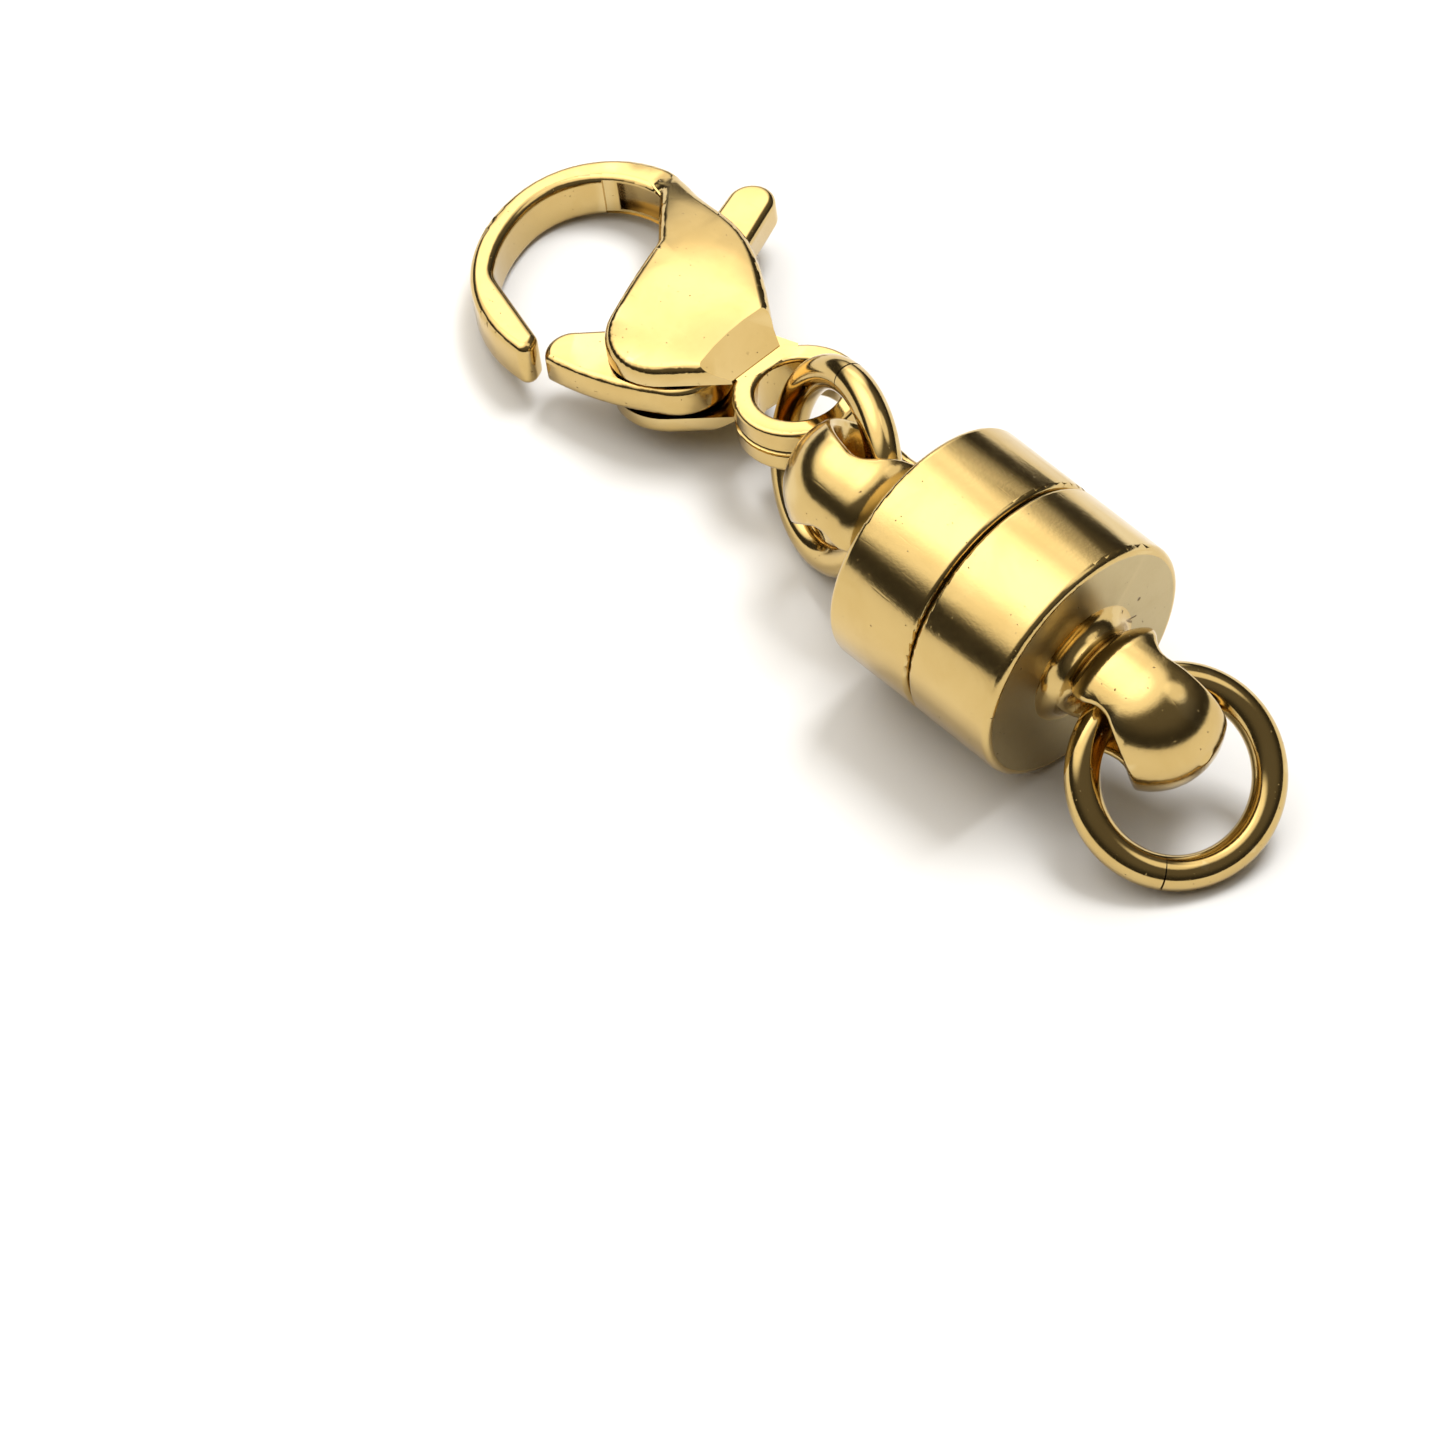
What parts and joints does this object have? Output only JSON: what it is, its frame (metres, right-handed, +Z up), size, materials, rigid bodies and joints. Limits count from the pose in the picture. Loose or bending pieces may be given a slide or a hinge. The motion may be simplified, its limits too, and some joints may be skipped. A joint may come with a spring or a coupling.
{
  "type": "magnetic necklace clasp with lobster claw",
  "caption": "Magnetic barrel clasp with a ball neck and jump ring at each end, and a lobster claw with a sprung lever linked to one ring, in polished yellow gold.",
  "frame": {"origin": "the point of the table under the middle of the seam between the barrel's two halves", "axes": "+X along the barrel, from the claw to the loose end ring; +Z up, away from the table"},
  "size_m": [0.0247, 0.0086, 0.006],
  "materials": {
    "gold_claw": "mirror-polished yellow-gold plating over cast stainless steel",
    "gold_rings": "mirror-polished yellow-gold plating over drawn wire",
    "gold_barrel": "polished yellow-gold plating over turned stainless steel",
    "magnet": "satin nickel-plated neodymium"
  },
  "bodies": {
    "claw_side": {"claw_body": "gold_claw", "pivot_pin": "gold_claw", "link_ring": "gold_rings", "claw_half": "gold_barrel", "claw_magnet": "magnet"},
    "lever": {"trigger_lever": "gold_claw"},
    "magnet_plug": {"loose_magnet": "magnet"},
    "loose_end": {"loose_half": "gold_barrel", "end_ring": "gold_rings"}
  },
  "joints": [
    {"name": "lever_hinge", "type": "hinge", "parent": "claw_side", "child": "lever", "pos_m": [-0.01045, 0.00042, 0.00167], "axis": [0.1641, 0, -0.9864], "range_deg": [0, 25], "stiffness_Nm_per_rad": 0.006, "springref_deg": -20.05},
    {"name": "magnet_pull", "type": "slide", "parent": "claw_side", "child": "magnet_plug", "axis": [1, 0, 0], "range_m": [0, 0.008]},
    {"name": "barrel_swivel", "type": "hinge", "parent": "magnet_plug", "child": "loose_end", "pos_m": [0, 0, 0.003], "axis": [1, 0, 0], "continuous": true}
  ]
}
